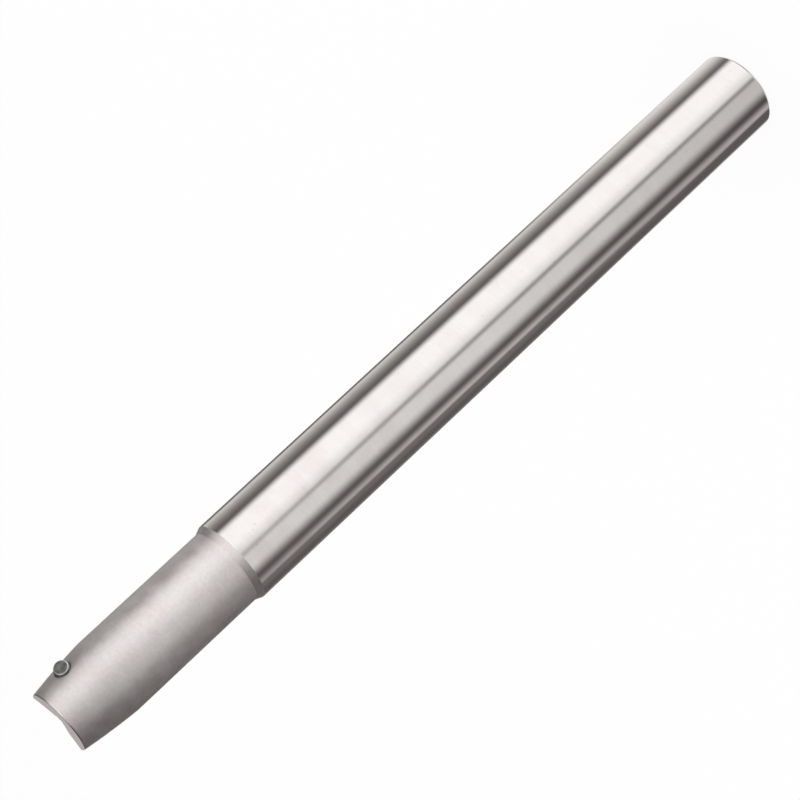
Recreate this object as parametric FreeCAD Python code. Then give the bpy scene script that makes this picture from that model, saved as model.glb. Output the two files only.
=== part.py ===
import FreeCAD, Part
import math
import os

# An end mill body for one clamped insert, with its clamp screw and no insert in the seat.
# Millimetres and degrees. The tool stands on its shank: the origin is the centre of the
# shank's end face, +Z runs along the axis to the tip, +X points at the cutting corner of a
# seated insert, and the rake face of that insert would look towards +Y.

# Shank and neck, turned and ground on one axis
overall_length = 130.0
shank_diameter = 12.0
shank_length = 100.0
shank_end_chamfer = 0.5
neck_diameter = 11.15
shoulder_chamfer_length = 1.0

# Nose, a short crowned taper with a rounded edge round a slightly hollow end face
nose_length = 8.3
nose_tip_diameter = 9.3
nose_crown = 0.08
nose_edge_radius = 0.2
end_face_dish = 0.15

# Cutting corner of a seated insert, the point that the seat is set out from
cutting_diameter = 12.0
corner_height = 1.72
corner_reach = 0.5

# Insert that the seat is made for, a parallelogram plate held through its middle
insert_length = 11.0
insert_width = 6.35
insert_thickness = 3.5
insert_relief = 11.0
insert_skew = 5.0

# Seat in the body
seat_radial_tilt = 5.0
seat_axial_tilt = 8.0
seat_corner_relief_radius = 0.8
seat_foot_groove_radius = 0.4
seat_foot_groove_depth = 0.2
seat_lead_clearance = 0.85
seat_lead_length = 2.5

# Chip gullet in front of the rake face and behind the seat
gullet_floor_height = 0.35
gullet_wall_angle = 130.0
gullet_corner_offset = 0.73
gullet_corner_radius = 1.4
gullet_runout_radius = 22.0
gullet_back_land = 1.2

# Clamp screw, a countersunk screw with a six-lobed socket and a tapered tail
thread_diameter = 2.5
thread_clearance = 0.04
thread_mouth_chamfer = 0.25
screw_length = 6.5
screw_head_diameter = 3.5
screw_head_rim = 0.35
screw_head_angle = 60.0
screw_head_sink = 0.42
screw_tail_diameter = 2.0
screw_tail_taper_length = 0.8
screw_tail_edge = 0.12
screw_top_edge = 0.08
socket_outer_diameter = 2.31
socket_inner_diameter = 1.68
socket_lobe_radius = 0.2
socket_lobes = 6
socket_depth = 1.0
socket_drill_point = 0.25

# Reach of the cutting solids past the body, and the margin of their cuts
clear_of_body = 4.0


def point(x, y, z):
    return FreeCAD.Vector(x, y, z)


def tangent(degrees):
    return math.tan(math.radians(degrees))


def revolve(edges):
    face = Part.Face(Part.Wire(edges))
    return face.revolve(point(0, 0, 0), point(0, 0, 1), 360)


def line(start, end):
    return Part.LineSegment(start, end).toShape()


def closed_polygon(corners):
    return Part.makePolygon(corners + [corners[0]])


def block_between(low, high):
    """Solid with flat sides between two outlines of four corners each, taken in the same order."""
    faces = [Part.Face(closed_polygon(low)), Part.Face(closed_polygon(high))]
    for first in range(4):
        second = (first + 1) % 4
        side = [low[first], low[second], high[second], high[first]]
        faces.append(Part.Face(closed_polygon(side)))
    solid = Part.Solid(Part.Shell(faces))
    if solid.Volume < 0:
        solid.reverse()
    return solid


# Places worked out from the sizes
shank_radius = shank_diameter / 2
neck_radius = neck_diameter / 2
nose_tip_radius = nose_tip_diameter / 2
nose_start = overall_length - nose_length
corner_x = math.sqrt((cutting_diameter / 2) ** 2 - corner_height ** 2)
corner_z = overall_length + corner_reach
radial_turn = FreeCAD.Rotation(point(0, 0, 1), -seat_radial_tilt)
axial_turn = FreeCAD.Rotation(point(1, 0, 0), -seat_axial_tilt)

# Seat frame: its origin is the cutting corner, X runs outwards along the seat, Y stands on
# the seat and Z follows the long cutting edge towards the tip. Y = 0 is the rake face.
seat_frame = FreeCAD.Placement(point(corner_x, corner_height, corner_z), radial_turn * axial_turn)
seat_floor = -insert_thickness
insert_mid_x = -insert_width / 2
insert_mid_z = -insert_length / 2 + insert_mid_x * tangent(insert_skew)

# Turns what was made along Z, with its top at Z = 0, to stand on the seat
upright = FreeCAD.Rotation(point(1, 0, 0), -90)

# Gullet frame: on the tool's axis, turned with the seat but not tilted
gullet_frame = FreeCAD.Placement(point(0, 0, 0), radial_turn)


def back_wall_z(x, inset):
    """Z of the wall behind the insert, in the seat frame, at x and so far inside the rake outline."""
    slope = tangent(insert_skew)
    return -insert_length + inset / math.cos(math.radians(insert_skew)) + x * slope


def seat_outline(height, side_gap, back_limit):
    """Plan of the room for the insert at one height, whose walls lean with the insert's flanks."""
    inset = -height * tangent(insert_relief)
    inner = -insert_width + inset - side_gap
    outer = clear_of_body + insert_thickness
    front = clear_of_body
    back_inner = back_wall_z(inner, inset)
    back_outer = back_wall_z(outer, inset)
    if back_limit is not None:
        back_inner = back_limit
        back_outer = back_limit
    return [
        point(inner, height, back_inner),
        point(outer, height, back_outer),
        point(outer, height, front),
        point(inner, height, front),
    ]


def seat_space(side_gap=0.0, back_limit=None):
    """Leaning-walled room over the seat, open outwards, upwards and to the tip."""
    top = insert_thickness + clear_of_body
    low = seat_outline(seat_floor, side_gap, back_limit)
    high = seat_outline(top, side_gap, back_limit)
    return block_between(low, high)


def seat_reliefs():
    """Round corner relief behind the insert, and a groove along the foot of the side wall."""
    inset = insert_thickness * tangent(insert_relief)
    inner = -insert_width + inset
    back = back_wall_z(inner, inset)
    offset = seat_corner_relief_radius / 2
    groove_bottom = seat_floor - seat_foot_groove_depth
    corner = Part.makeCylinder(
        seat_corner_relief_radius,
        insert_thickness + clear_of_body,
        point(inner + offset, groove_bottom, back + offset),
        point(0, 1, 0),
    )
    groove = Part.makeCylinder(
        seat_foot_groove_radius,
        clear_of_body - back,
        point(inner, groove_bottom + seat_foot_groove_radius, back + offset),
        point(0, 0, 1),
    )
    return [corner, groove]


def seat_cutters():
    lead = seat_space(seat_lead_clearance, -corner_reach - seat_lead_length)
    cutters = [seat_space(), lead] + seat_reliefs()
    for cutter in cutters:
        cutter.Placement = seat_frame
    return cutters


def gullet_cutter():
    """Trough with a flat floor over the seat that runs out through the neck on a large arc."""
    reach = shank_radius + clear_of_body
    floor = gullet_floor_height
    tip_side = overall_length + clear_of_body
    seat_back = corner_z + back_wall_z(0, 0)
    arc_start = seat_back - gullet_back_land
    rise = reach - floor
    drop = math.sqrt(gullet_runout_radius ** 2 - (gullet_runout_radius - rise) ** 2)
    half = math.asin(drop / gullet_runout_radius) / 2
    arc_middle = point(
        -reach,
        floor + gullet_runout_radius * (1 - math.cos(half)),
        arc_start - gullet_runout_radius * math.sin(half),
    )
    arc_end = point(-reach, reach, arc_start - drop)
    side = Part.Wire([
        line(point(-reach, floor, tip_side), point(-reach, floor, arc_start)),
        Part.Arc(point(-reach, floor, arc_start), arc_middle, arc_end).toShape(),
        line(arc_end, point(-reach, reach, tip_side)),
        line(point(-reach, reach, tip_side), point(-reach, floor, tip_side)),
    ])
    trough = Part.Face(side).extrude(point(2 * reach, 0, 0))

    angle = math.radians(gullet_wall_angle)
    along = point(math.cos(angle), math.sin(angle), 0)
    corner = point(-gullet_corner_offset, floor, arc_start - drop)
    wall_low = corner - along * clear_of_body
    wall_high = corner + along * (2 * reach)
    room = Part.Face(closed_polygon([
        wall_low,
        point(2 * reach, wall_low.y, corner.z),
        point(2 * reach, wall_high.y, corner.z),
        wall_high,
    ])).extrude(point(0, 0, tip_side - corner.z))
    cutter = trough.common(room)

    foot = []
    for edge in cutter.Edges:
        middle = edge.valueAt((edge.FirstParameter + edge.LastParameter) / 2)
        off_wall = (middle - corner).cross(along).z
        lengthwise = edge.BoundBox.ZLength > gullet_corner_radius
        below_top = middle.y < reach - gullet_corner_radius
        if abs(off_wall) < 0.001 and lengthwise and below_top:
            foot.append(edge)
    cutter = cutter.makeFillet(gullet_corner_radius, foot)
    cutter.Placement = gullet_frame
    return cutter


def nose_arcs():
    """Crowned outline of the nose, its rounded edge and the hollow end face, up to the axis."""
    edge_z = overall_length - nose_edge_radius
    face_radius = nose_tip_radius - nose_edge_radius
    half_edge = nose_edge_radius * math.sqrt(0.5)
    crown = Part.Arc(
        point(neck_radius, 0, nose_start),
        point((neck_radius + nose_tip_radius) / 2 + nose_crown, 0, (nose_start + edge_z) / 2),
        point(nose_tip_radius, 0, edge_z),
    )
    edge = Part.Arc(
        point(nose_tip_radius, 0, edge_z),
        point(face_radius + half_edge, 0, edge_z + half_edge),
        point(face_radius, 0, overall_length),
    )
    dish_radius = (face_radius ** 2 + end_face_dish ** 2) / (2 * end_face_dish)
    half_face = face_radius / 2
    dish_middle = math.sqrt(dish_radius ** 2 - half_face ** 2) - (dish_radius - end_face_dish)
    dish = Part.Arc(
        point(face_radius, 0, overall_length),
        point(half_face, 0, overall_length - dish_middle),
        point(0, 0, overall_length - end_face_dish),
    )
    return [crown.toShape(), edge.toShape(), dish.toShape()]


def turned_body():
    end_radius = shank_radius - shank_end_chamfer
    shoulder_top = shank_length + shoulder_chamfer_length
    outline = [
        line(point(0, 0, 0), point(end_radius, 0, 0)),
        line(point(end_radius, 0, 0), point(shank_radius, 0, shank_end_chamfer)),
        line(point(shank_radius, 0, shank_end_chamfer), point(shank_radius, 0, shank_length)),
        line(point(shank_radius, 0, shank_length), point(neck_radius, 0, shoulder_top)),
        line(point(neck_radius, 0, shoulder_top), point(neck_radius, 0, nose_start)),
    ]
    outline += nose_arcs()
    outline.append(line(point(0, 0, overall_length - end_face_dish), point(0, 0, 0)))
    return revolve(outline)


def screw_hole():
    """Hole through the seat for the clamp screw, narrower where the screw's tail leaves it."""
    radius = thread_diameter / 2 + thread_clearance
    tail_radius = screw_tail_diameter / 2 + thread_clearance
    depth = shank_radius + clear_of_body
    taper_end = screw_head_sink + screw_length - screw_tail_edge - insert_thickness
    taper_start = taper_end - screw_tail_taper_length
    profile = [
        point(0, 0, 0),
        point(radius + thread_mouth_chamfer, 0, 0),
        point(radius, 0, -thread_mouth_chamfer),
        point(radius, 0, -taper_start),
        point(tail_radius, 0, -taper_end),
        point(tail_radius, 0, -depth),
        point(0, 0, -depth),
    ]
    hole = revolve(closed_polygon(profile).Edges)
    in_seat = FreeCAD.Placement(point(insert_mid_x, seat_floor, insert_mid_z), upright)
    hole.Placement = seat_frame * in_seat
    return hole


def tool_body():
    cutters = [gullet_cutter()] + seat_cutters() + [screw_hole()]
    return turned_body().cut(cutters).removeSplitter()


def socket_outline(height):
    """Six-lobed outline of round lobes joined by hollow arcs that meet them smoothly."""
    lobe_centre = socket_outer_diameter / 2 - socket_lobe_radius
    half_pitch = math.pi / socket_lobes
    inner_radius = socket_inner_diameter / 2
    across = 2 * lobe_centre * math.cos(half_pitch)
    hollow_radius = (
        (lobe_centre ** 2 + inner_radius ** 2 - inner_radius * across - socket_lobe_radius ** 2)
        / (2 * socket_lobe_radius + across - 2 * inner_radius)
    )
    hollow_centre = inner_radius + hollow_radius

    def polar(radius, angle):
        return point(radius * math.cos(angle), radius * math.sin(angle), height)

    edges = []
    for lobe in range(socket_lobes):
        angle = 2 * half_pitch * lobe
        centre = polar(lobe_centre, angle)
        before = polar(hollow_centre, angle - half_pitch)
        after = polar(hollow_centre, angle + half_pitch)
        following = polar(lobe_centre, angle + 2 * half_pitch)
        start = centre + (before - centre).normalize() * socket_lobe_radius
        end = centre + (after - centre).normalize() * socket_lobe_radius
        next_start = following + (after - following).normalize() * socket_lobe_radius
        lobe_top = polar(socket_outer_diameter / 2, angle)
        hollow_bottom = polar(inner_radius, angle + half_pitch)
        edges.append(Part.Arc(start, lobe_top, end).toShape())
        edges.append(Part.Arc(end, hollow_bottom, next_start).toShape())
    return Part.Wire(edges)


def clamp_screw():
    """Screw along its own axis with the head's top at Z = 0, then put into the seat's hole."""
    head_radius = screw_head_diameter / 2
    thread_radius = thread_diameter / 2
    cone_height = (head_radius - thread_radius) / tangent(screw_head_angle / 2)
    head_height = screw_head_rim + cone_height
    tail_radius = screw_tail_diameter / 2
    taper_end = screw_tail_edge - screw_length
    profile = [
        point(0, 0, 0),
        point(head_radius - screw_top_edge, 0, 0),
        point(head_radius, 0, -screw_top_edge),
        point(head_radius, 0, -screw_head_rim),
        point(thread_radius, 0, -head_height),
        point(thread_radius, 0, taper_end + screw_tail_taper_length),
        point(tail_radius, 0, taper_end),
        point(tail_radius - screw_tail_edge, 0, -screw_length),
        point(0, 0, -screw_length),
    ]
    screw = revolve(closed_polygon(profile).Edges)
    socket = Part.Face(socket_outline(-socket_depth)).extrude(point(0, 0, 2 * socket_depth))
    drill = Part.makeCone(
        0, socket_inner_diameter / 2, socket_drill_point,
        point(0, 0, -socket_depth - socket_drill_point))
    screw = screw.cut([socket, drill])
    in_seat = FreeCAD.Placement(point(insert_mid_x, -screw_head_sink, insert_mid_z), upright)
    screw.Placement = seat_frame * in_seat
    return screw


def export(name, shape):
    solids = shape.Solids
    if len(solids) != 1 or not shape.isValid():
        raise RuntimeError(name + " is not one valid solid")
    solids[0].exportStep("parts/" + name + ".step")
    print(name, "volume", round(solids[0].Volume, 3), "faces", len(solids[0].Faces))


os.makedirs("parts", exist_ok=True)
export("tool_body", tool_body())
export("clamp_screw", clamp_screw())
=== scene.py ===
import bpy
import math
from mathutils import Matrix, Vector


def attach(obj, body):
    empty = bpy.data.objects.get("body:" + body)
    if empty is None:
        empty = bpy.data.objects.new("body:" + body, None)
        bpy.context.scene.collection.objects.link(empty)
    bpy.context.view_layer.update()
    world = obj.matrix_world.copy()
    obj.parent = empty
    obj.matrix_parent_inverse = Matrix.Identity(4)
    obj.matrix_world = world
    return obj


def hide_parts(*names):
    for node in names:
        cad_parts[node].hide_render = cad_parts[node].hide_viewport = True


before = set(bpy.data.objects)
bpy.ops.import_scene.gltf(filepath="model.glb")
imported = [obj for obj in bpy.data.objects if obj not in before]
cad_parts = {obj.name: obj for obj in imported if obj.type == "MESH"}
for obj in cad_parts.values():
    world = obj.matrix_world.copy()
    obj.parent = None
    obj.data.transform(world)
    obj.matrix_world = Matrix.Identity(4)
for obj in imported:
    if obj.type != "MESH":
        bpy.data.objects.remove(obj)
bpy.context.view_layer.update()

# Sizes in millimetres and degrees, the same as in the part's source; the meshes are in metres
MM = 0.001
MICRON = 0.000001
overall_length = 130.0
shank_radius = 6.0
shank_length = 100.0
shank_end_chamfer = 0.5
neck_radius = 5.575
shoulder_chamfer_length = 1.0
nose_length = 8.3
nose_tip_radius = 4.65
nose_crown = 0.08
nose_edge_radius = 0.2
end_face_dish = 0.15

cutting_radius = 6.0
corner_height = 1.72
corner_reach = 0.5
insert_length = 11.0
insert_width = 6.35
insert_thickness = 3.5
insert_relief = 11.0
insert_skew = 5.0

seat_radial_tilt = 5.0
seat_axial_tilt = 8.0
seat_corner_relief_radius = 0.8
seat_foot_groove_radius = 0.4
seat_foot_groove_depth = 0.2
seat_lead_clearance = 0.85
seat_lead_length = 2.5

gullet_floor_height = 0.35
gullet_wall_angle = 130.0
gullet_corner_offset = 0.73
gullet_corner_radius = 1.4
gullet_runout_radius = 22.0
gullet_back_land = 1.2

hole_clearance = 0.04
hole_mouth_chamfer = 0.25
thread_radius = 1.25
thread_pitch = 0.45
thread_depth = 0.27
thread_crest_share = 0.125
thread_flank_share = 0.625
thread_runout = 0.4
screw_length = 6.5
screw_head_radius = 1.75
screw_head_rim = 0.35
screw_head_angle = 60.0
screw_head_sink = 0.42
screw_tail_radius = 1.0
screw_tail_taper_length = 0.8
screw_tail_edge = 0.12
screw_top_edge = 0.08
socket_outer_radius = 1.155
socket_inner_radius = 0.84
socket_lobe_radius = 0.2
socket_lobes = 6
socket_depth = 1.0
socket_drill_radius = 0.78
socket_drill_point = 0.25
socket_mouth_chamfer = 0.04

# Fineness of the meshes
body_columns = 240
end_face_rings = 6
shank_rings = 30
shoulder_rings = 2
neck_rings = 10
nose_rings = 14
edge_rings = 8
dish_rings = 8
screw_columns = 144
thread_rings_per_turn = 18
cutter_columns = 48
gullet_corner_steps = 12
gullet_runout_steps = 40
cutter_margin = 4.0
crease_angle = 19.0


def degrees(angle):
    return math.radians(angle)


def new_piece(name, vertices, faces):
    """Mesh object in the row frame from points in millimetres."""
    mesh = bpy.data.meshes.new(name)
    mesh.from_pydata([Vector(vertex) * MM for vertex in vertices], [], faces)
    mesh.validate()
    mesh.update()
    piece = bpy.data.objects.new(name, mesh)
    bpy.context.scene.collection.objects.link(piece)
    return piece


def place(piece, frame_matrix):
    """Puts a mesh made in its own frame, in metres, where frame_matrix says in millimetres."""
    matrix = frame_matrix.copy()
    matrix.translation = matrix.translation * MM
    piece.data.transform(matrix)


def lathe(name, rings, columns):
    """Closed mesh from rings of (radius, height); a radius may be a function of the angle."""
    vertices = []
    for radius, height in rings[1:-1]:
        for column in range(columns):
            angle = 2 * math.pi * column / columns
            reach = radius(angle) if callable(radius) else radius
            vertices.append((reach * math.cos(angle), reach * math.sin(angle), height))
    first = len(vertices)
    vertices.append((0, 0, rings[0][1]))
    vertices.append((0, 0, rings[-1][1]))
    faces = []
    last_ring = (len(rings) - 3) * columns
    for column in range(columns):
        after = (column + 1) % columns
        faces.append((first, after, column))
        faces.append((first + 1, last_ring + column, last_ring + after))
        for ring in range(len(rings) - 3):
            low = ring * columns
            high = low + columns
            faces.append((low + column, low + after, high + after, high + column))
    return new_piece(name, vertices, faces)


def loft(name, sections):
    """Closed mesh through sections of the same number of points, with flat ends.

    Seen from beyond the last section, its points run anticlockwise, so the faces look outwards.
    """
    count = len(sections[0])
    vertices = [vertex for section in sections for vertex in section]
    faces = [tuple(reversed(range(count)))]
    faces.append(tuple(range(len(vertices) - count, len(vertices))))
    for section in range(len(sections) - 1):
        low = section * count
        high = low + count
        for corner in range(count):
            after = (corner + 1) % count
            faces.append((low + corner, low + after, high + after, high + corner))
    return new_piece(name, vertices, faces)


def arc_points(start, middle, end, steps):
    """Points of the circle through three (radius, height) points, from start to end."""
    (ax, ay), (bx, by), (cx, cy) = start, middle, end
    twice = 2 * (ax * (by - cy) + bx * (cy - ay) + cx * (ay - by))
    a2, b2, c2 = ax * ax + ay * ay, bx * bx + by * by, cx * cx + cy * cy
    centre_x = (a2 * (by - cy) + b2 * (cy - ay) + c2 * (ay - by)) / twice
    centre_y = (a2 * (cx - bx) + b2 * (ax - cx) + c2 * (bx - ax)) / twice
    radius = math.hypot(ax - centre_x, ay - centre_y)
    first = math.atan2(ay - centre_y, ax - centre_x)
    sweep = math.atan2(cy - centre_y, cx - centre_x) - first
    sweep = (sweep + math.pi) % (2 * math.pi) - math.pi
    points = []
    for step in range(1, steps + 1):
        angle = first + sweep * step / steps
        points.append((centre_x + radius * math.cos(angle), centre_y + radius * math.sin(angle)))
    return points


def straight_points(start, end, steps):
    points = []
    for step in range(1, steps + 1):
        share = step / steps
        points.append(tuple(a + (b - a) * share for a, b in zip(start, end)))
    return points


# Turned body

def body_profile():
    """Outline from the shank's end face to the hollow of the tip, as (radius, height)."""
    neck_start = shank_length + shoulder_chamfer_length
    nose_start = overall_length - nose_length
    edge_start = overall_length - nose_edge_radius
    face_radius = nose_tip_radius - nose_edge_radius
    crown = ((neck_radius + nose_tip_radius) / 2 + nose_crown, (nose_start + edge_start) / 2)
    half_edge = nose_edge_radius * math.sqrt(0.5)
    edge_middle = (face_radius + half_edge, edge_start + half_edge)
    dish_radius = (face_radius ** 2 + end_face_dish ** 2) / (2 * end_face_dish)
    half_face = face_radius / 2
    dish_middle = math.sqrt(dish_radius ** 2 - half_face ** 2) - (dish_radius - end_face_dish)
    points = [(0, 0)]
    points += straight_points((0, 0), (shank_radius - shank_end_chamfer, 0), end_face_rings)
    points += straight_points(points[-1], (shank_radius, shank_end_chamfer), 1)
    points += straight_points(points[-1], (shank_radius, shank_length), shank_rings)
    points += straight_points(points[-1], (neck_radius, neck_start), shoulder_rings)
    points += straight_points(points[-1], (neck_radius, nose_start), neck_rings)
    points += arc_points(points[-1], crown, (nose_tip_radius, edge_start), nose_rings)
    points += arc_points(points[-1], edge_middle, (face_radius, overall_length), edge_rings)
    points += arc_points(
        points[-1], (half_face, overall_length - dish_middle),
        (0, overall_length - end_face_dish), dish_rings)
    return points


# Cutting solids of the seat, gullet and screw hole

corner_x = math.sqrt(cutting_radius ** 2 - corner_height ** 2)
corner_z = overall_length + corner_reach
radial_turn = Matrix.Rotation(degrees(-seat_radial_tilt), 4, "Z")
axial_turn = Matrix.Rotation(degrees(-seat_axial_tilt), 4, "X")
seat_frame = Matrix.Translation((corner_x, corner_height, corner_z)) @ radial_turn @ axial_turn
seat_floor = -insert_thickness
insert_mid_x = -insert_width / 2
insert_mid_z = -insert_length / 2 + insert_mid_x * math.tan(degrees(insert_skew))
upright = Matrix.Rotation(degrees(-90), 4, "X")
screw_frame = seat_frame @ Matrix.Translation(
    (insert_mid_x, -screw_head_sink, insert_mid_z)) @ upright


def back_wall_z(x, inset):
    skew = degrees(insert_skew)
    return -insert_length + inset / math.cos(skew) + x * math.tan(skew)


def seat_outline(height, side_gap, back_limit):
    inset = -height * math.tan(degrees(insert_relief))
    inner = -insert_width + inset - side_gap
    outer = cutter_margin + insert_thickness
    back_inner = back_wall_z(inner, inset)
    back_outer = back_wall_z(outer, inset)
    if back_limit is not None:
        back_inner = back_limit
        back_outer = back_limit
    return [
        (inner, height, back_inner),
        (outer, height, back_outer),
        (outer, height, cutter_margin),
        (inner, height, cutter_margin),
    ]


def seat_room(name, side_gap=0.0, back_limit=None):
    top = insert_thickness + cutter_margin
    low = seat_outline(seat_floor, side_gap, back_limit)
    high = seat_outline(top, side_gap, back_limit)
    return loft(name, [high, low])


def rod(name, outline, centre, axis_turn):
    """Round cutter from its (radius, height) outline, then turned and moved to centre."""
    rings = [(0, outline[0][1])] + outline + [(0, outline[-1][1])]
    piece = lathe(name, rings, cutter_columns)
    place(piece, Matrix.Translation(centre) @ axis_turn)
    return piece


def screw_hole_outline():
    """Hole for the screw from its narrow way out up to its mouth at the seat's floor."""
    radius = thread_radius + hole_clearance
    tail_radius = screw_tail_radius + hole_clearance
    taper_end = screw_head_sink + screw_length - screw_tail_edge - insert_thickness
    return [
        (tail_radius, -shank_radius - cutter_margin),
        (tail_radius, -taper_end),
        (radius, screw_tail_taper_length - taper_end),
        (radius, -hole_mouth_chamfer),
        (radius + hole_mouth_chamfer, 0),
        (radius + hole_mouth_chamfer, 1),
    ]


def seat_cutters():
    inset = insert_thickness * math.tan(degrees(insert_relief))
    inner = -insert_width + inset
    back = back_wall_z(inner, inset)
    offset = seat_corner_relief_radius / 2
    groove_bottom = seat_floor - seat_foot_groove_depth
    groove_radius = seat_foot_groove_radius
    groove_centre = (inner, groove_bottom + groove_radius, back + offset)
    corner_outline = [
        (seat_corner_relief_radius, 0),
        (seat_corner_relief_radius, insert_thickness + cutter_margin),
    ]
    groove_outline = [(groove_radius, 0), (groove_radius, cutter_margin - back)]
    cutters = [
        seat_room("cut_seat"),
        seat_room("cut_lead", seat_lead_clearance, -corner_reach - seat_lead_length),
        rod("cut_corner", corner_outline, (inner + offset, groove_bottom, back + offset), upright),
        rod("cut_groove", groove_outline, groove_centre, Matrix.Identity(4)),
        rod("cut_hole", screw_hole_outline(), (insert_mid_x, seat_floor, insert_mid_z), upright),
    ]
    for cutter in cutters:
        place(cutter, seat_frame)
    return cutters


def gullet_section(floor, z):
    """Outline across the gullet: its floor, the round foot of its wall, and the wall."""
    reach = shank_radius + cutter_margin
    wall = degrees(gullet_wall_angle)
    half = wall / 2
    base_x = -gullet_corner_offset + (floor - gullet_floor_height) / math.tan(wall)
    to_tangent = gullet_corner_radius / math.tan(half)
    centre = (base_x + to_tangent, floor + gullet_corner_radius)
    points = [(2 * reach, floor, z)]
    for step in range(gullet_corner_steps + 1):
        angle = -math.pi / 2 - (math.pi - wall) * step / gullet_corner_steps
        points.append((
            centre[0] + gullet_corner_radius * math.cos(angle),
            centre[1] + gullet_corner_radius * math.sin(angle),
            z,
        ))
    far = 3 * reach
    points.append((base_x + far * math.cos(wall), floor + far * math.sin(wall), z))
    points.append((2 * reach, floor + far * math.sin(wall), z))
    return points


def gullet_cutter():
    arc_start = corner_z + back_wall_z(0, 0) - gullet_back_land
    reach = shank_radius + cutter_margin
    rise = reach - gullet_floor_height
    full = math.acos(1 - rise / gullet_runout_radius)
    sections = [gullet_section(gullet_floor_height, overall_length + cutter_margin)]
    for step in range(gullet_runout_steps + 1):
        angle = full * step / gullet_runout_steps
        floor = gullet_floor_height + gullet_runout_radius * (1 - math.cos(angle))
        sections.append(gullet_section(floor, arc_start - gullet_runout_radius * math.sin(angle)))
    cutter = loft("cut_gullet", sections)
    place(cutter, radial_turn)
    return cutter


def cut(piece, cutters):
    for cutter in cutters:
        modifier = piece.modifiers.new(cutter.name, "BOOLEAN")
        modifier.operation = "DIFFERENCE"
        modifier.solver = "EXACT"
        modifier.object = cutter
    bpy.context.view_layer.update()
    evaluated = piece.evaluated_get(bpy.context.evaluated_depsgraph_get())
    mesh = bpy.data.meshes.new_from_object(evaluated)
    piece.modifiers.clear()
    piece.data = mesh
    for cutter in cutters:
        bpy.data.objects.remove(cutter)


def crease(piece):
    """Smooth shading with creases at the edges that a real part has."""
    mesh = piece.data
    for polygon in mesh.polygons:
        polygon.use_smooth = True
    mesh.set_sharp_from_angle(angle=degrees(crease_angle))


# Clamp screw

def socket_radius(angle):
    """Reach of the six-lobed outline at an angle: round lobes joined by hollow arcs."""
    centre = socket_outer_radius - socket_lobe_radius
    half_pitch = math.pi / socket_lobes
    across = 2 * centre * math.cos(half_pitch)
    hollow = (
        (centre ** 2 + socket_inner_radius ** 2 - socket_inner_radius * across
         - socket_lobe_radius ** 2)
        / (2 * socket_lobe_radius + across - 2 * socket_inner_radius)
    )
    hollow_centre = socket_inner_radius + hollow
    to_x = hollow_centre * math.cos(half_pitch) - centre
    to_y = hollow_centre * math.sin(half_pitch)
    share = socket_lobe_radius / math.hypot(to_x, to_y)
    meet = math.atan2(to_y * share, centre + to_x * share)
    offset = abs((angle + half_pitch) % (2 * half_pitch) - half_pitch)
    if offset <= meet:
        return centre * math.cos(offset) + math.sqrt(
            socket_lobe_radius ** 2 - (centre * math.sin(offset)) ** 2)
    inside = half_pitch - offset
    return hollow_centre * math.cos(inside) - math.sqrt(
        hollow ** 2 - (hollow_centre * math.sin(inside)) ** 2)


def shaft_top_height():
    """Where the screw's cone meets its shaft, below the top of its head."""
    cone_height = (screw_head_radius - thread_radius) / math.tan(degrees(screw_head_angle / 2))
    return -screw_head_rim - cone_height


def thread_reach(height):
    """Radius of the screw's shaft at a height, as a function of the angle round it."""
    above_tail = height + screw_length
    fade = min(1.0, max(0.0, (shaft_top_height() - height) / thread_runout))
    slope = (thread_radius - screw_tail_radius) / screw_tail_taper_length
    edge_limit = screw_tail_radius - screw_tail_edge + above_tail
    limit = min(edge_limit, screw_tail_radius + slope * max(0.0, above_tail - screw_tail_edge))

    def reach(angle):
        turn = (height / thread_pitch - angle / (2 * math.pi)) % 1
        off_crest = abs(turn - 0.5) * 2
        flank = min(1.0, max(0.0, (off_crest - thread_crest_share) / thread_flank_share))
        return min(thread_radius - thread_depth * fade * flank, limit)

    return reach


def screw_piece():
    shaft_top = shaft_top_height()
    tail = -screw_length
    face_radius = screw_tail_radius - screw_tail_edge
    edge_top = tail + screw_tail_edge
    rings = [(0, tail)]
    rings.append((face_radius * 0.5, tail))
    rings.append((face_radius, tail))
    steps = int((shaft_top - edge_top) / (thread_pitch / thread_rings_per_turn))
    for step in range(steps):
        height = edge_top + (shaft_top - edge_top) * step / steps
        rings.append((thread_reach(height), height))
    rings.append((thread_radius, shaft_top))
    rings.append((screw_head_radius, -screw_head_rim))
    rings.append((screw_head_radius, -screw_top_edge))
    rings.append((screw_head_radius - screw_top_edge, 0))
    rings.append((lambda angle: socket_radius(angle) + socket_mouth_chamfer, 0))
    rings.append((socket_radius, -socket_mouth_chamfer))
    rings.append((socket_radius, -socket_depth))
    rings.append((socket_drill_radius, -socket_depth))
    rings.append((0, -socket_depth - socket_drill_point))
    piece = lathe("clamp_screw_dressed", rings, screw_columns)
    place(piece, screw_frame)
    return piece


# Materials

# Most values of a noise lie in these ranges; the narrow one brings out more contrast
noise_range = (0.3, 0.7)
narrow_range = (0.36, 0.64)


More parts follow.
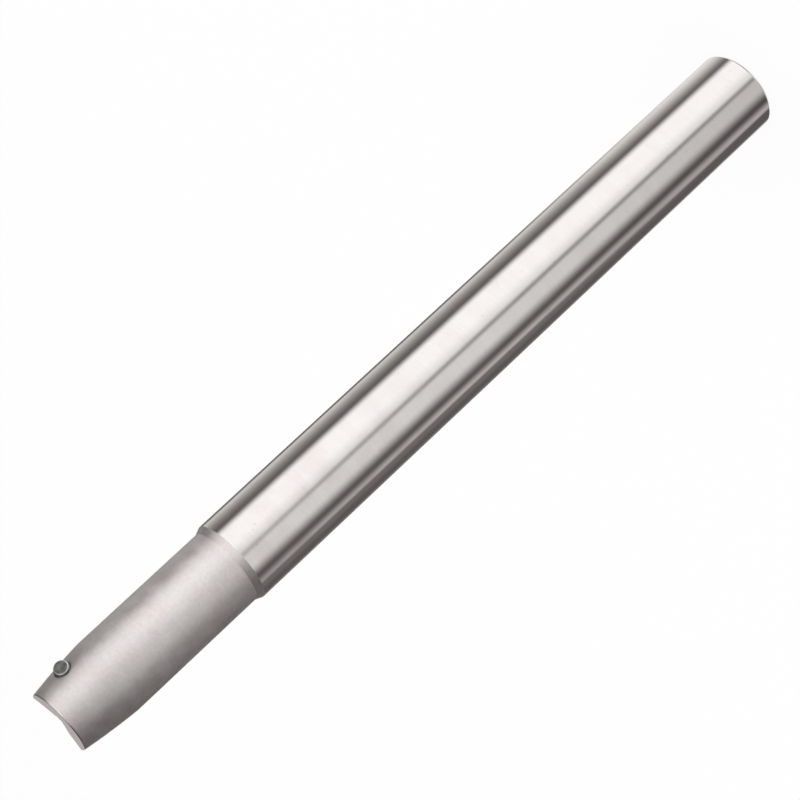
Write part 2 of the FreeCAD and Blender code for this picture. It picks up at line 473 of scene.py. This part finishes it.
class Nodes:
    """Short hand for building a node tree."""

    def __init__(self, tree):
        self.tree = tree
        tree.nodes.clear()

    def add(self, kind, inputs=None, **settings):
        node = self.tree.nodes.new(kind)
        for name, value in settings.items():
            setattr(node, name, value)
        for name, value in (inputs or {}).items():
            if isinstance(value, bpy.types.NodeSocket):
                self.tree.links.new(value, node.inputs[name])
            else:
                node.inputs[name].default_value = value
        return node

    def math(self, operation, first, second=0.0):
        return self.add("ShaderNodeMath", {0: first, 1: second}, operation=operation).outputs[0]

    def scaled(self, vector, factors):
        node = self.add("ShaderNodeVectorMath", {0: vector, 1: factors}, operation="MULTIPLY")
        return node.outputs[0]

    def noise(self, vector, scale, detail=3.0, roughness=0.5):
        node = self.add("ShaderNodeTexNoise", {
            "Vector": vector, "Scale": scale, "Detail": detail, "Roughness": roughness})
        return node.outputs[0]

    def remap(self, value, low, high, from_low=0.0, from_high=1.0):
        node = self.add("ShaderNodeMapRange", {
            "Value": value, "From Min": from_low, "From Max": from_high,
            "To Min": low, "To Max": high})
        return node.outputs[0]

    def blend(self, factor, first, second, blend_type="MIX"):
        node = self.add("ShaderNodeMix", data_type="RGBA", blend_type=blend_type)
        for socket, value in ((node.inputs[0], factor), (node.inputs[6], first),
                              (node.inputs[7], second)):
            if isinstance(value, bpy.types.NodeSocket):
                self.tree.links.new(value, socket)
            else:
                socket.default_value = value
        return node.outputs[2]

    def bump(self, height, microns):
        inputs = {"Height": height, "Distance": microns * MICRON, "Strength": 1.0}
        return self.add("ShaderNodeBump", inputs).outputs[0]


def rgb(red, green, blue):
    return (red, green, blue, 1.0)


def metal(name, build, **constants):
    """Metal material whose colour, roughness and normal come from build(nodes, coordinates)."""
    material = bpy.data.materials.new(name)
    material.use_nodes = True
    nodes = Nodes(material.node_tree)
    coordinates = nodes.add("ShaderNodeTexCoord").outputs["Object"]
    colour, roughness, normal = build(nodes, coordinates)
    shader = nodes.add("ShaderNodeBsdfPrincipled", {
        "Base Color": colour, "Roughness": roughness, "Normal": normal, "Metallic": 1.0})
    for socket, value in constants.items():
        shader.inputs[socket].default_value = value
    if "Anisotropic" in constants:
        tangent = nodes.add("ShaderNodeTangent", direction_type="RADIAL", axis="Z")
        nodes.tree.links.new(tangent.outputs[0], shader.inputs["Tangent"])
    output = nodes.add("ShaderNodeOutputMaterial")
    nodes.tree.links.new(shader.outputs[0], output.inputs[0])
    return material


def height_share(nodes, coordinates, low, high):
    """Rises from 0 to 1 between two heights on the tool."""
    height = nodes.add("ShaderNodeSeparateXYZ", {0: coordinates}).outputs["Z"]
    return nodes.remap(height, 0.0, 1.0, low * MM, high * MM)


def ground_finish(nodes, coordinates):
    """Fine grinding lines round the shank, with faint stains, most of them by the shoulder."""
    fine = nodes.noise(nodes.scaled(coordinates, (150, 150, 9000)), 1.0, 2.0)
    broad = nodes.noise(nodes.scaled(coordinates, (90, 90, 700)), 1.0, 4.0)
    stain = nodes.noise(coordinates, 260.0, 4.0)
    tone = nodes.remap(fine, 0.0, 0.5, *noise_range)
    tone = nodes.math("ADD", tone, nodes.remap(broad, 0.0, 0.5, *noise_range))
    colour = nodes.blend(tone, rgb(0.610, 0.592, 0.585), rgb(0.650, 0.636, 0.628))
    stained = nodes.remap(stain, 0.0, 1.0, 0.46, 0.62)
    stains_start = shank_length * 0.55
    by_shoulder = height_share(nodes, coordinates, stains_start, shank_length)
    stained = nodes.math("MULTIPLY", stained, nodes.remap(by_shoulder, 0.25, 1.0))
    colour = nodes.blend(stained, colour, rgb(0.955, 0.925, 0.92), "MULTIPLY")
    speck = nodes.remap(nodes.noise(coordinates, 2600.0, 1.0), 0.0, 1.0, 0.73, 0.80)
    colour = nodes.blend(speck, colour, rgb(0.80, 0.78, 0.77), "MULTIPLY")
    roughness = nodes.remap(stain, 0.07, 0.11, *noise_range)
    roughness = nodes.math("ADD", roughness, nodes.remap(fine, 0.0, 0.03, *noise_range))
    normal = nodes.bump(nodes.math("ADD", fine, broad), 1.2)
    return colour, roughness, normal


def blasted_finish(nodes, coordinates):
    """Satin of a blasted surface: fine grain, mottling and faint turning lines, duller on the nose."""
    grain = nodes.noise(coordinates, 6500.0, 2.0, 0.6)
    mottle = nodes.noise(coordinates, 520.0, 5.0, 0.6)
    wide = nodes.noise(coordinates, 130.0, 2.0)
    turning = nodes.noise(nodes.scaled(coordinates, (110, 110, 2400)), 1.0, 3.0, 0.6)
    speckle = nodes.noise(coordinates, 2300.0, 2.0, 0.6)
    tone = nodes.remap(mottle, 0.0, 0.45, *narrow_range)
    tone = nodes.math("ADD", tone, nodes.remap(wide, 0.0, 0.13, *narrow_range))
    tone = nodes.math("ADD", tone, nodes.remap(turning, 0.0, 0.12, *narrow_range))
    tone = nodes.math("ADD", tone, nodes.remap(speckle, 0.0, 0.3, 0.41, 0.59))
    colour = nodes.blend(tone, rgb(0.610, 0.582, 0.574), rgb(0.730, 0.710, 0.702))
    pink = nodes.remap(nodes.noise(coordinates, 240.0, 3.0), 0.0, 1.0, 0.45, 0.65)
    colour = nodes.blend(pink, colour, rgb(1.0, 0.965, 0.96), "MULTIPLY")
    nose_start = overall_length - nose_length
    dulling = height_share(nodes, coordinates, nose_start - nose_length, nose_start)
    colour = nodes.blend(dulling, colour, rgb(0.92, 0.92, 0.92), "MULTIPLY")
    roughness = nodes.remap(mottle, 0.48, 0.56, *narrow_range)
    height = nodes.math("ADD", grain, nodes.math("MULTIPLY", mottle, 2.0))
    height = nodes.math("ADD", height, turning)
    normal = nodes.bump(height, 6.0)
    return colour, roughness, normal


def milled_finish(nodes, coordinates):
    """Cutter marks in shallow arcs under a light satin."""
    rings = nodes.add("ShaderNodeTexWave", {
        "Vector": coordinates, "Scale": 900.0, "Distortion": 1.5, "Detail": 2.0},
        wave_type="RINGS", rings_direction="Z", wave_profile="SAW").outputs[1]
    grain = nodes.noise(coordinates, 6500.0, 2.0, 0.6)
    mottle = nodes.noise(coordinates, 520.0, 4.0, 0.6)
    colour = nodes.blend(mottle, rgb(0.575, 0.555, 0.548), rgb(0.640, 0.625, 0.618))
    roughness = nodes.remap(mottle, 0.28, 0.36, *noise_range)
    height = nodes.math("ADD", nodes.math("MULTIPLY", rings, 0.8), grain)
    normal = nodes.bump(height, 4.0)
    return colour, roughness, normal


def faced_finish(nodes, coordinates):
    """Fine rings that facing leaves on the shank's end, and on the tip with its rounded edge."""
    flat = nodes.scaled(coordinates, (1, 1, 0))
    radius = nodes.add("ShaderNodeVectorMath", {0: flat}, operation="LENGTH").outputs["Value"]
    along = nodes.add("ShaderNodeCombineXYZ", {"X": radius}).outputs[0]
    rings = nodes.noise(along, 9000.0, 3.0)
    mottle = nodes.noise(coordinates, 420.0, 4.0)
    colour = nodes.blend(rings, rgb(0.555, 0.538, 0.530), rgb(0.640, 0.624, 0.616))
    roughness = nodes.remap(mottle, 0.22, 0.30, *noise_range)
    normal = nodes.bump(rings, 3.0)
    return colour, roughness, normal


def oxide_finish(nodes, coordinates):
    """Black oxide, rubbed to a lighter grey in patches."""
    mottle = nodes.noise(coordinates, 1600.0, 4.0, 0.6)
    rubbed = nodes.remap(mottle, 0.0, 1.0, *narrow_range)
    colour = nodes.blend(rubbed, rgb(0.070, 0.071, 0.071), rgb(0.165, 0.166, 0.164))
    roughness = nodes.remap(mottle, 0.34, 0.46, *noise_range)
    normal = nodes.bump(mottle, 6.0)
    return colour, roughness, normal


def edge_highlight_finish(nodes, coordinates):
    """Light band on the edge of the screw's tail: a painted highlight, the bright ring of the edge
    given as a lighter colour than the oxide.
    """
    lines = nodes.noise(coordinates, 7000.0, 3.0)
    colour = nodes.blend(lines, rgb(0.500, 0.495, 0.490), rgb(0.700, 0.690, 0.680))
    roughness = nodes.remap(lines, 0.42, 0.52, *noise_range)
    normal = nodes.bump(lines, 3.0)
    return colour, roughness, normal


def turned_radius(height):
    """Outer radius of the turned body at a height, to tell turned faces from milled ones."""
    neck_start = shank_length + shoulder_chamfer_length
    if height < shank_length:
        return shank_radius
    if height < neck_start:
        share = (height - shank_length) / shoulder_chamfer_length
        return shank_radius + (neck_radius - shank_radius) * share
    if height < overall_length - nose_length:
        return neck_radius
    points = body_profile()
    for (r1, z1), (r2, z2) in zip(points, points[1:]):
        if z1 <= height <= z2 and z2 > z1:
            return r1 + (r2 - r1) * (height - z1) / (z2 - z1)
    return nose_tip_radius - nose_edge_radius


def paint_body(piece):
    finishes = [
        metal("ground_steel", ground_finish, Anisotropic=0.4),
        metal("blasted_steel", blasted_finish),
        metal("milled_steel", milled_finish),
        metal("faced_steel", faced_finish),
    ]
    piece.data.materials.clear()
    for finish in finishes:
        piece.data.materials.append(finish)
    ground, blasted, milled, faced = range(4)
    tolerance = 0.02
    looks_up = 0.1
    looks_down = -0.9
    tip_start = overall_length - nose_edge_radius
    for polygon in piece.data.polygons:
        centre = polygon.center / MM
        radius = math.hypot(centre.x, centre.y)
        on_tip = polygon.normal.z > looks_up and centre.z > tip_start
        on_end = polygon.normal.z < looks_down and centre.z < tolerance
        turned = abs(radius - turned_radius(centre.z)) < tolerance
        if on_tip or on_end:
            polygon.material_index = faced
        elif centre.z < shank_length - tolerance:
            polygon.material_index = ground
        elif turned:
            polygon.material_index = blasted
        else:
            polygon.material_index = milled


def paint_screw(piece):
    finishes = [
        metal("black_oxide", oxide_finish),
        metal("painted_highlight_edge", edge_highlight_finish),
    ]
    for finish in finishes:
        piece.data.materials.append(finish)
    # The tail's edge gets the light colour that paints its highlight; the rest stays black oxide
    oxide, highlight_edge = range(2)
    tolerance = 0.001
    local = screw_frame.inverted()
    for polygon in piece.data.polygons:
        centre = local @ (polygon.center / MM)
        above_tail = centre.z + screw_length
        on_edge = tolerance < above_tail < screw_tail_edge
        polygon.material_index = highlight_edge if on_edge else oxide


def tool_body():
    piece = lathe("tool_body_dressed", body_profile(), body_columns)
    cut(piece, [gullet_cutter()] + seat_cutters())
    crease(piece)
    paint_body(piece)
    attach(piece, "root")
    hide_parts("tool_body")


def clamp_screw():
    piece = screw_piece()
    crease(piece)
    paint_screw(piece)
    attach(piece, "root")
    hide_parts("clamp_screw")


# Studio

camera_azimuth = -125.7


def direction_to(azimuth, elevation):
    """Unit vector from the tool towards a place, from angles in degrees."""
    across = math.cos(degrees(elevation))
    return Vector((
        across * math.cos(degrees(azimuth)),
        across * math.sin(degrees(azimuth)),
        math.sin(degrees(elevation)),
    ))


def studio_camera():
    """Long lens that looks down at the standing tool, rolled so that the tip is at lower left."""
    data = bpy.data.cameras.new("camera")
    data.sensor_width = 36.0
    data.lens = 118.475
    data.clip_start = 0.01
    data.clip_end = 20.0
    camera = bpy.data.objects.new("camera", data)
    bpy.context.scene.collection.objects.link(camera)
    elevation = 19.819
    roll = degrees(-132.955)
    distance = 345.51
    target = Vector((0, 0, 68.385))
    aside = 0.455
    back = direction_to(camera_azimuth, elevation)
    right = Vector((0, 0, 1)).cross(back).normalized()
    up = back.cross(right)
    turned_right = right * math.cos(roll) + up * math.sin(roll)
    turned_up = up * math.cos(roll) - right * math.sin(roll)
    matrix = Matrix((turned_right, turned_up, back)).transposed().to_4x4()
    matrix.translation = (target + back * distance + right * aside) * MM
    camera.matrix_world = matrix
    bpy.context.scene.camera = camera


class Room:
    """What stands round the tool as the metal reflects it, one lamp or card before another.

    Bearings are in degrees from the -Y side towards +X, and elevations in degrees.
    """

    neutral = (1.0, 0.985, 0.98)
    warm = (1.0, 0.975, 0.935)
    rose = (1.0, 0.955, 0.95)
    mauve = (1.0, 0.92, 0.91)

    def __init__(self, nodes, level, tint):
        direction = nodes.add("ShaderNodeTexCoord").outputs["Generated"]
        parts = nodes.add("ShaderNodeSeparateXYZ", {0: direction}).outputs
        towards = nodes.math("ARCTAN2", parts["X"], nodes.math("MULTIPLY", parts["Y"], -1.0))
        self.nodes = nodes
        self.bearing = nodes.math("DEGREES", towards)
        self.elevation = nodes.math("DEGREES", nodes.math("ARCSINE", parts["Z"]))
        self.colour = self.glow(level, tint)

    def glow(self, level, tint):
        return rgb(*[level * share for share in tint])

    def step(self, value, edge, softness):
        """Rises from 0 to 1 at an edge that is soft over so many degrees."""
        node = self.nodes.add("ShaderNodeMapRange", {
            "Value": value, "From Min": edge - softness / 2, "From Max": edge + softness / 2},
            interpolation_type="SMOOTHSTEP")
        return node.outputs[0]

    def span(self, value, ends, softness):
        """1 between two edges and 0 outside them."""
        inside = self.step(value, ends[0], softness[0])
        beyond = self.step(value, ends[1], softness[1])
        return self.nodes.math("MULTIPLY", inside, self.nodes.math("SUBTRACT", 1.0, beyond))

    def share(self, bearings, soft_bearings, elevations, soft_elevations):
        nodes = self.nodes
        middle = (bearings[0] + bearings[1]) / 2
        half = (bearings[1] - bearings[0]) / 2
        from_middle = nodes.add(
            "ShaderNodeMath", {0: nodes.math("SUBTRACT", self.bearing, middle), 1: 180.0, 2: -180.0},
            operation="WRAP").outputs[0]
        across = self.span(from_middle, (-half, half), soft_bearings)
        upright = self.span(self.elevation, elevations, soft_elevations)
        return nodes.math("MULTIPLY", across, upright)

    def card(self, level, tint, *place):
        """Lamp or card that hides what is behind it."""
        self.colour = self.nodes.blend(self.share(*place), self.colour, self.glow(level, tint))

    def net(self, passed, *place):
        """Net or stand that dims what is behind it."""
        dimmed = self.glow(passed, self.neutral)
        self.colour = self.nodes.blend(self.share(*place), self.colour, dimmed, "MULTIPLY")


def studio_room(nodes):
    """Dark cloth all round, lamps and cards before it, and nets and stands before those.

    A lamp or card has its level and tint, and a net or stand the share of light that it lets by.
    Then come the bearings and the elevations of its edges, each with how soft those edges are.
    """
    room = Room(nodes, 0.15, Room.mauve)
    white_table = (1.3, room.neutral, (-200, 200), (10, 10), (-100, -52), (5, 12))
    side_light = (0.95, room.warm, (82, 150), (75, 16), (-60, -8), (10, 16))
    side_light_foot = (1.05, room.warm, (82, 150), (75, 16), (-60, -27), (10, 8))
    back_card = (0.6, room.mauve, (128, 168), (16, 12), (-60, 45), (10, 20))
    top_card = (0.6, room.neutral, (-30, 140), (30, 20), (48, 100), (16, 5))
    strip_spill = (0.23, room.mauve, (-156, -134), (20, 8), (-27, -8), (8, 14))
    strip_light = (0.7, room.rose, (-135, -121), (9, 22), (-27, -14), (8, 14))
    strip_light_foot = (0.64, room.rose, (-142, -124), (9, 22), (-38, -26), (8, 8))
    fill_card = (1.0, room.neutral, (-92, 0), (34, 10), (-60, 8), (10, 20))
    softbox_foot = (0.8, room.neutral, (-20, 20), (44, 10), (-60, -26), (10, 10))
    softbox = (1.5, room.neutral, (-26, 41), (44, 22), (-60, 50), (10, 20))
    for card in (white_table, side_light, side_light_foot, back_card, top_card, strip_spill,
                 strip_light, strip_light_foot, fill_card, softbox_foot, softbox):
        room.card(*card)
    fill_card_net = (0.75, (-115, -46), (10, 8), (-60, -27), (10, 12))
    top_flag = (0.6, (-170, -28), (20, 40), (8, 90), (16, 5))
    gap = (0.4, (-47, -37), (10, 10), (-60, -14), (10, 24))
    side_stand = (0.2, (111, 165), (12, 10), (-26, -8), (8, 8))
    for net in (fill_card_net, top_flag, gap, side_stand):
        room.net(*net)
    return room.colour


def studio_world():
    """White to the camera and to the floor, and the studio room to the metal."""
    world = bpy.data.worlds.new("studio")
    world.use_nodes = True
    bpy.context.scene.world = world
    nodes = Nodes(world.node_tree)
    glossy = nodes.add("ShaderNodeEmission", {"Color": studio_room(nodes), "Strength": 1.0})
    plain = nodes.add("ShaderNodeEmission", {"Color": rgb(1, 1, 1), "Strength": 1.0})
    path = nodes.add("ShaderNodeLightPath").outputs
    chosen = nodes.add("ShaderNodeMixShader", {
        0: path["Is Glossy Ray"], 1: plain.outputs[0], 2: glossy.outputs[0]})
    output = nodes.add("ShaderNodeOutputWorld")
    nodes.tree.links.new(chosen.outputs[0], output.inputs[0])


def studio_floor():
    """White floor that keeps a faint shadow; the metal sees the studio round it instead."""
    size = 3000.0
    whiteness = 0.9
    corners = [(-size, -size, 0), (size, -size, 0), (size, size, 0), (-size, size, 0)]
    floor = new_piece("floor", corners, [(0, 1, 2, 3)])
    material = bpy.data.materials.new("floor_white")
    material.use_nodes = True
    nodes = Nodes(material.node_tree)
    matte = nodes.add("ShaderNodeBsdfDiffuse", {"Color": rgb(0.86, 0.86, 0.86)})
    white = nodes.add("ShaderNodeEmission", {"Color": rgb(1, 1, 1), "Strength": 1.0})
    path = nodes.add("ShaderNodeLightPath").outputs
    share = nodes.math("MULTIPLY", path["Is Camera Ray"], whiteness)
    mixed = nodes.add("ShaderNodeMixShader", {0: share, 1: matte.outputs[0], 2: white.outputs[0]})
    output = nodes.add("ShaderNodeOutputMaterial")
    nodes.tree.links.new(mixed.outputs[0], output.inputs[0])
    floor.data.materials.append(material)
    floor.visible_glossy = False


def studio_lamp():
    """Soft lamp over the camera, so that the shadow falls behind the tool."""
    data = bpy.data.lights.new("lamp", "AREA")
    data.shape = "DISK"
    data.size = 0.7
    data.energy = 1.2
    lamp = bpy.data.objects.new("lamp", data)
    bpy.context.scene.collection.objects.link(lamp)
    elevation = 50.0
    distance = 0.8
    target = Vector((0, 0, 0.05))
    back = direction_to(camera_azimuth, elevation)
    lamp.location = target + back * distance
    lamp.rotation_euler = back.to_track_quat("Z", "Y").to_euler()


bpy.context.scene.view_settings.view_transform = "Standard"
studio_camera()
studio_world()
studio_floor()
studio_lamp()
tool_body()
clamp_screw()
